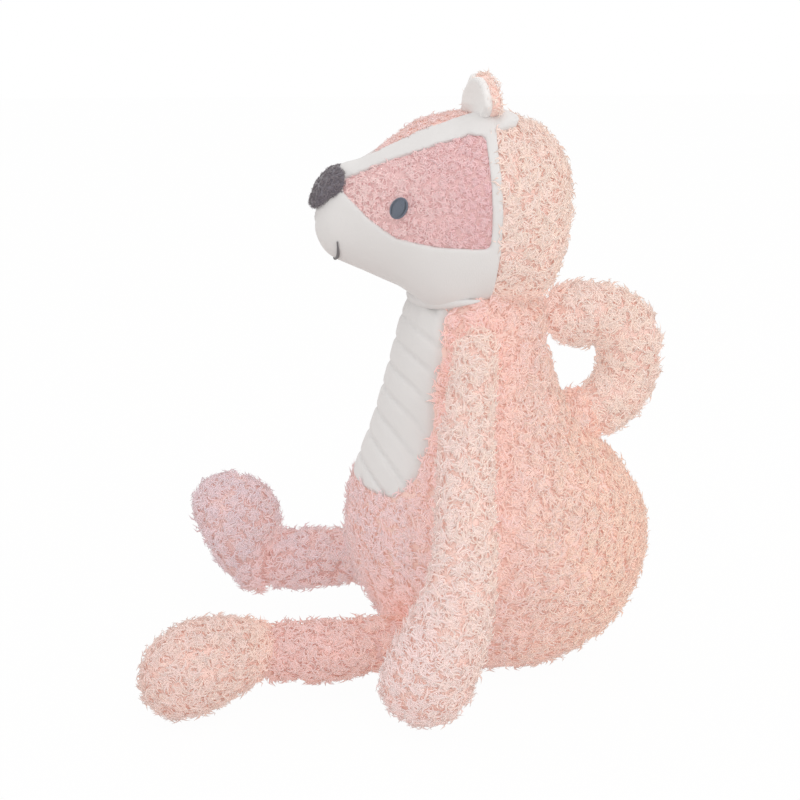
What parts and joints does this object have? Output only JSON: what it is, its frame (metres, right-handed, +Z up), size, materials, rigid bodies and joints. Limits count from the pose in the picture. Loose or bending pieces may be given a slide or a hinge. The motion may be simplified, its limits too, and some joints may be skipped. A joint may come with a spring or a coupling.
{
  "type": "plush animal",
  "caption": "Seated stuffed animal with a wedge-shaped striped face, a ribbed belly panel, hanging arms, outstretched legs with turning feet, small cupped ears and a tail curled on its back.",
  "frame": {"origin": "centre of the flat seat under the torso, on the surface that the toy sits on", "axes": "+Z up, the toy faces -Y, and its left side is at +X"},
  "size_m": [0.1968, 0.2159, 0.2434],
  "materials": {
    "pink_pile": "curly short pile, matt with a soft sheen",
    "rose_pile": "short dense pile, matt",
    "white_velour": "smooth short velour",
    "ribbed_velour": "velour with broad soft ribs",
    "dark_nose_cloth": "fine dark velour",
    "eye_thread": "satin stitch embroidery",
    "mouth_yarn": "satin stitch embroidery",
    "stuffing": "loose fibre"
  },
  "bodies": {
    "torso": {"torso_cover": "pink_pile", "belly_panel": "ribbed_velour", "torso_fill": "stuffing"},
    "head": {"head_fill": "stuffing", "head_back_cover": "pink_pile", "forehead_strip": "pink_pile", "left_face_panel": "white_velour", "right_face_panel": "white_velour", "left_eye_patch": "rose_pile", "right_eye_patch": "rose_pile", "nose": "dark_nose_cloth", "left_eye": "eye_thread", "right_eye": "eye_thread", "mouth_thread": "mouth_yarn"},
    "left_ear": {"left_ear_back": "pink_pile", "left_ear_lining": "white_velour"},
    "right_ear": {"right_ear_back": "pink_pile", "right_ear_lining": "white_velour"},
    "left_arm": {"left_arm_cover": "pink_pile", "left_arm_fill": "stuffing"},
    "right_arm": {"right_arm_cover": "pink_pile", "right_arm_fill": "stuffing"},
    "left_leg": {"left_leg_cover": "pink_pile", "left_leg_fill": "stuffing"},
    "right_leg": {"right_leg_cover": "pink_pile", "right_leg_fill": "stuffing"},
    "left_foot": {"left_foot_cover": "pink_pile", "left_foot_fill": "stuffing"},
    "right_foot": {"right_foot_cover": "pink_pile", "right_foot_fill": "stuffing"},
    "tail": {"tail_cover": "pink_pile", "tail_fill": "stuffing"}
  },
  "joints": [
    {"name": "neck", "type": "hinge", "parent": "torso", "child": "head", "pos_m": [0, -0.011, 0.154], "axis": [0, 0, 1], "range_deg": [-40, 40], "stiffness_Nm_per_rad": 0.03},
    {"name": "left_ear", "type": "hinge", "parent": "head", "child": "left_ear", "pos_m": [0.01584, -0.01005, 0.22853], "axis": [0.7497, 0.6291, -0.2053], "range_deg": [-30, 30], "stiffness_Nm_per_rad": 0.002},
    {"name": "right_ear", "type": "hinge", "parent": "head", "child": "right_ear", "pos_m": [-0.01584, -0.01005, 0.22853], "axis": [0.7497, -0.6291, 0.2053], "range_deg": [-30, 30], "stiffness_Nm_per_rad": 0.002},
    {"name": "left_shoulder", "type": "hinge", "parent": "torso", "child": "left_arm", "pos_m": [0.03375, -0.016, 0.138], "axis": [-1, 0, 0], "range_deg": [-45, 85], "stiffness_Nm_per_rad": 0.02},
    {"name": "right_shoulder", "type": "hinge", "parent": "torso", "child": "right_arm", "pos_m": [-0.03375, -0.016, 0.138], "axis": [-1, 0, 0], "range_deg": [-45, 85], "stiffness_Nm_per_rad": 0.02},
    {"name": "left_hip", "type": "hinge", "parent": "torso", "child": "left_leg", "pos_m": [0.04388, -0.04799, 0.02084], "axis": [-0.9994, -0.0349, 0], "range_deg": [-75, 35], "stiffness_Nm_per_rad": 0.05, "springref_deg": 4.01},
    {"name": "right_hip", "type": "hinge", "parent": "torso", "child": "right_leg", "pos_m": [-0.04388, -0.04799, 0.02084], "axis": [-1, 0, 0], "range_deg": [-75, 35], "stiffness_Nm_per_rad": 0.05, "springref_deg": 4.01},
    {"name": "left_ankle", "type": "hinge", "parent": "left_leg", "child": "left_foot", "pos_m": [0.04597, -0.10793, 0.01942], "axis": [-0.9994, -0.0349, 0], "range_deg": [-15, 65], "stiffness_Nm_per_rad": 0.03},
    {"name": "right_ankle", "type": "hinge", "parent": "right_leg", "child": "right_foot", "pos_m": [-0.04388, -0.10799, 0.02084], "axis": [-1, 0, 0], "range_deg": [-85, 0], "stiffness_Nm_per_rad": 0.03},
    {"name": "tail", "type": "hinge", "parent": "torso", "child": "tail", "pos_m": [0, 0.04314, 0.10417], "axis": [-1, 0, 0], "range_deg": [0, 45], "stiffness_Nm_per_rad": 0.03}
  ]
}
